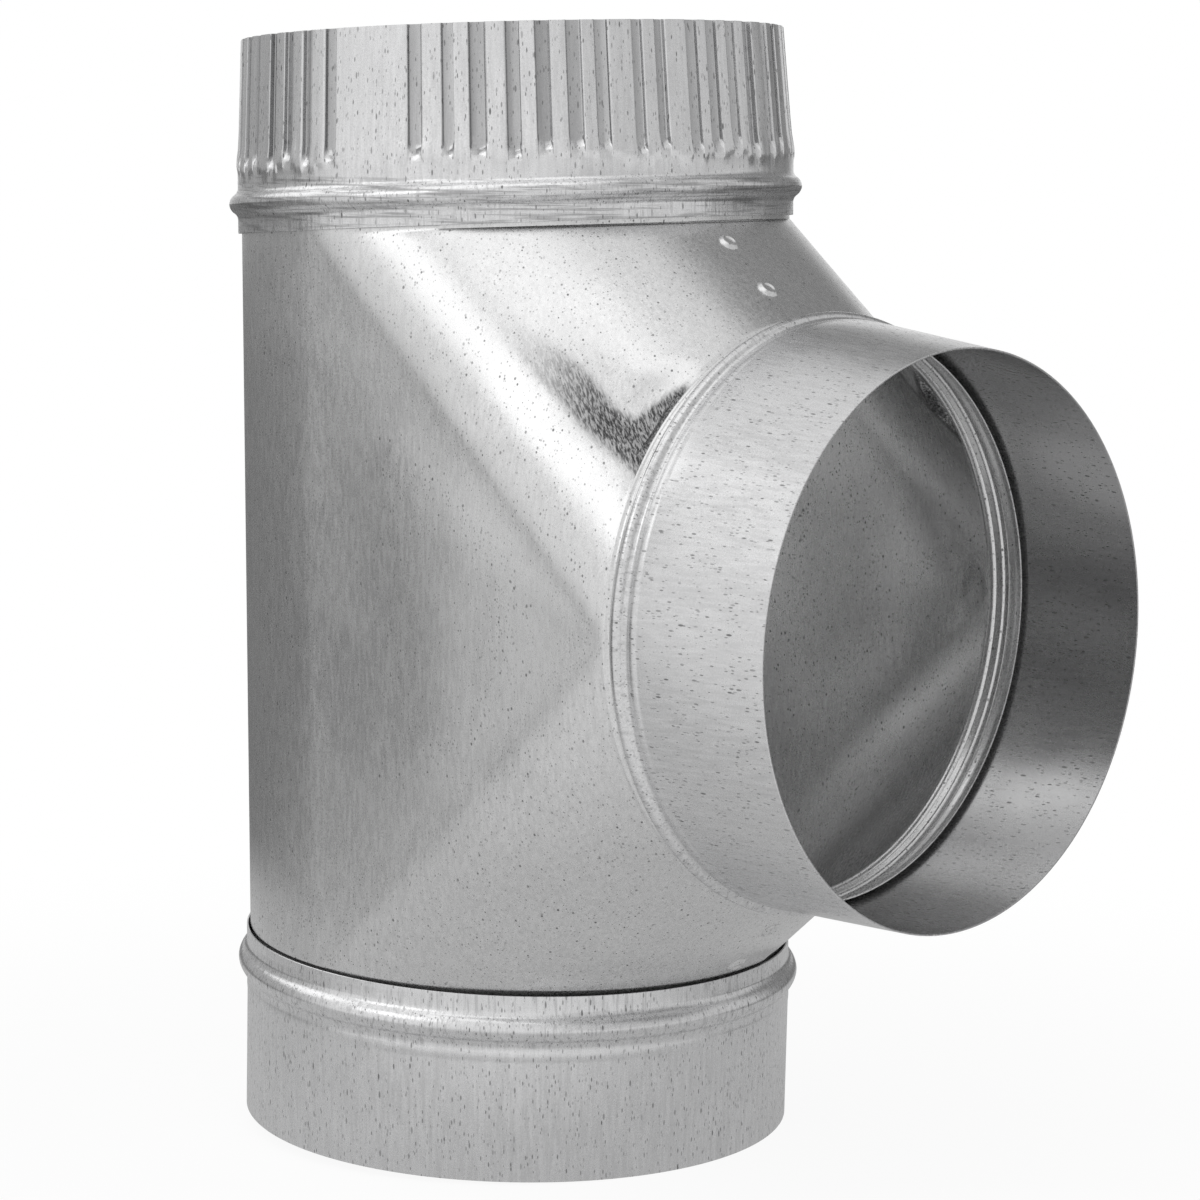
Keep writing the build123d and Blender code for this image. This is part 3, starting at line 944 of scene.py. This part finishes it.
class TEE_OT_stage(bpy.types.Operator):
    """Pale floor, soft studio light and the camera"""

    bl_idname = "tee.stage"
    bl_label = "Stage"

    def execute(self, context):
        scene = context.scene
        stage = scene.tee_stage
        bm = bmesh.new()
        bmesh.ops.create_grid(bm, x_segments=1, y_segments=1, size=stage.floor_size / 2)
        mesh = bpy.data.meshes.new("floor")
        bm.to_mesh(mesh)
        bm.free()
        floor = bpy.data.objects.new("floor", mesh)
        scene.collection.objects.link(floor)
        mesh.materials.append(self.floor_material(stage))
        self.world(scene)
        for name, spot, size, radiance in (
                ("overhead softbox", (0.30, -0.50, 1.55), (1.3, 0.9), 0.4),
                ("front softbox", (-0.16, -1.35, 1.03), (0.9, 0.55), 0.75),
                ("left softbox", (-1.15, -0.45, 1.15), (1.0, 0.8), 0.75)):
            self.lamp(scene, name, spot, size, radiance)
        self.camera(scene, stage)
        scene.view_settings.view_transform = "Standard"
        return {"FINISHED"}

    def floor_material(self, stage):
        """Pale and matt, with the object's shadow. Seen or reflected, it blends into the white backdrop."""
        material = bpy.data.materials.new("Floor")
        material.use_nodes = True
        tree = material.node_tree
        tree.nodes.remove(tree.nodes["Principled BSDF"])
        wires = Wiring(tree)
        matt = wires.node("ShaderNodeBsdfDiffuse", (*stage.floor, 1))
        place = wires.node("ShaderNodeTexCoord").outputs["Object"]
        away = wires.vector("LENGTH", place)["Value"]
        cover = wires.remap(away, 0.12, 0.4, 0.92, 1.0)
        near = wires.remap(away, 0.3, 0.52, 0.5, 0.0)
        path = wires.node("ShaderNodeLightPath").outputs
        direct = wires.math("MAXIMUM", path["Is Camera Ray"], path["Is Transmission Ray"])
        seen = wires.math("MAXIMUM", direct, path["Is Glossy Ray"])
        front = self.front(wires, place)
        lit = wires.math("MAXIMUM", near, wires.remap(front, -0.05, 0.3, 0.16, 0.82))
        lit = wires.math("MAXIMUM", direct, lit)
        white = wires.node("ShaderNodeEmission", (1, 1, 1, 1), lit)
        wires.mix(tree.nodes["Material Output"].inputs["Surface"], wires.math("MULTIPLY", cover, seen),
                  matt.outputs[0], white.outputs[0])
        return material

    def front(self, wires, place):
        """How far a place or direction lies towards the camera's side of the studio."""
        return wires.dot(place, (0.707, -0.707, 0.0))

    def world(self, scene):
        """White behind the object, and a room that is darker at the left and behind."""
        world = bpy.data.worlds.new("Studio")
        scene.world = world
        world.use_nodes = True
        tree = world.node_tree
        wires = Wiring(tree)
        way = wires.node("ShaderNodeTexCoord").outputs["Generated"]
        x, y, z = wires.split(way)
        walls = wires.remap(wires.dot(way, (0.85, -0.43, 0.0)), -0.42, -0.12, 0.38, 1.0)
        ceiling = wires.remap(z, 0.35, 0.65)
        open_side = wires.math("MAXIMUM", wires.remap(y, 0.3, 0.6, 1.0, 0.0), wires.remap(x, 0.05, 0.4))
        lit = wires.math("MULTIPLY", open_side, wires.math("MAXIMUM", walls, ceiling))
        high = wires.math(
            "MAXIMUM", wires.remap(z, 0.68, 0.9, 0.64, 1.0), wires.remap(y, -0.5, -0.2, 1.0, 0.0))
        level = wires.math("ADD", wires.math("MULTIPLY", wires.math("MULTIPLY", lit, high), 0.65), 0.22)
        room = tree.nodes["Background"]
        room.inputs["Color"].default_value = (1, 1, 1, 1)
        wires.feed(room.inputs["Strength"], level)
        white = wires.node("ShaderNodeBackground", (1, 1, 1, 1))
        path = wires.node("ShaderNodeLightPath").outputs
        seen = wires.math("MAXIMUM", path["Is Camera Ray"], path["Is Transmission Ray"])
        behind = wires.remap(self.front(wires, way), -0.9, -0.98)
        seen = wires.math("MAXIMUM", seen, wires.math("MULTIPLY", path["Is Glossy Ray"], behind))
        wires.mix(tree.nodes["World Output"].inputs["Surface"], seen, room.outputs[0], white.outputs[0])

    def lamp(self, scene, name, spot, size, radiance):
        """A soft lamp that faces the middle of the tee."""
        aim = Vector((0.05, -0.03, 0.15))
        data = bpy.data.lights.new(name, "AREA")
        data.shape = "RECTANGLE"
        data.size, data.size_y = size
        data.energy = radiance * math.pi * size[0] * size[1]
        made = bpy.data.objects.new(name, data)
        made.location = spot
        made.rotation_euler = (Vector(spot) - aim).to_track_quat("Z", "Y").to_euler()
        made.visible_camera = False
        scene.collection.objects.link(made)

    def camera(self, scene, stage):
        a, e = stage.azimuth, stage.elevation
        back = Vector((math.sin(a) * math.cos(e), -math.cos(a) * math.cos(e), math.sin(e)))
        right = Vector((math.cos(a), math.sin(a), 0))
        data = bpy.data.cameras.new("camera")
        data.sensor_width = 36.0
        data.lens = stage.lens
        data.clip_start, data.clip_end = 0.05, 50.0
        made = bpy.data.objects.new("camera", data)
        made.location = Vector((0, 0, stage.aim_height)) + right * stage.aim_side + back * stage.distance
        made.rotation_mode = "QUATERNION"
        made.rotation_quaternion = (-back).to_track_quat("-Z", "Y")
        scene.collection.objects.link(made)
        scene.camera = made


OPERATORS = (
    TEE_OT_body_skin, TEE_OT_seam_buttons, TEE_OT_crimped_collar, TEE_OT_plain_collars, TEE_OT_stage)


class TEE_PT_panel(bpy.types.Panel):
    """The tee's pieces and the stage"""

    bl_idname = "TEE_PT_panel"
    bl_label = "Furnace pipe tee"
    bl_space_type = "VIEW_3D"
    bl_region_type = "UI"
    bl_category = "Pipe tee"

    def draw(self, context):
        for operator in OPERATORS:
            self.layout.operator(operator.bl_idname)
        for name, group in GROUPS:
            box = self.layout.box()
            box.label(text=group.__doc__)
            for key in group.__annotations__:
                box.prop(getattr(context.scene, name), key)


def register():
    for name, group in GROUPS:
        bpy.utils.register_class(group)
        setattr(bpy.types.Scene, name, bpy.props.PointerProperty(type=group))
    for made in (*OPERATORS, TEE_PT_panel):
        bpy.utils.register_class(made)


def unregister():
    for made in (TEE_PT_panel, *reversed(OPERATORS)):
        bpy.utils.unregister_class(made)
    for name, group in reversed(GROUPS):
        delattr(bpy.types.Scene, name)
        bpy.utils.unregister_class(group)


def main():
    register()
    bpy.ops.tee.body_skin()
    bpy.ops.tee.seam_buttons()
    bpy.ops.tee.crimped_collar()
    bpy.ops.tee.plain_collars()
    bpy.ops.tee.stage()


if __name__ == "__main__":
    main()
